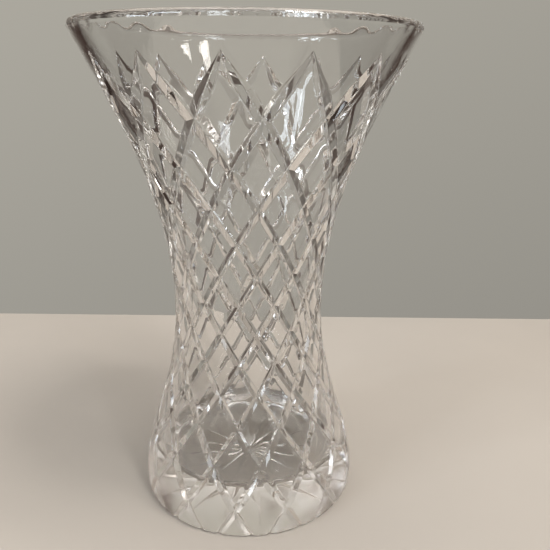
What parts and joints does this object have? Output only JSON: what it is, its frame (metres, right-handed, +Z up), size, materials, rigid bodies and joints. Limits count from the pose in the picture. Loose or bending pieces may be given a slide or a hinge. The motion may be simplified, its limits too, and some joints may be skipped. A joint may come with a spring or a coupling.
{
  "type": "cut crystal vase",
  "caption": "Waisted trumpet vase of clear cut crystal, with crossing mitre cuts that leave diamonds, a thumb-cut rim and a thick star-cut foot.",
  "frame": {"origin": "middle of the underside, on the surface that the vase stands on", "axes": "+Z up along the vase's axis, -Y towards the viewer, with one of the highest points of the cutting on the -Y side"},
  "size_m": [0.1668, 0.1674, 0.25],
  "materials": {
    "crystal": "polished clear lead crystal"
  },
  "bodies": {
    "root": {"vase_body": "crystal"}
  },
  "joints": []
}
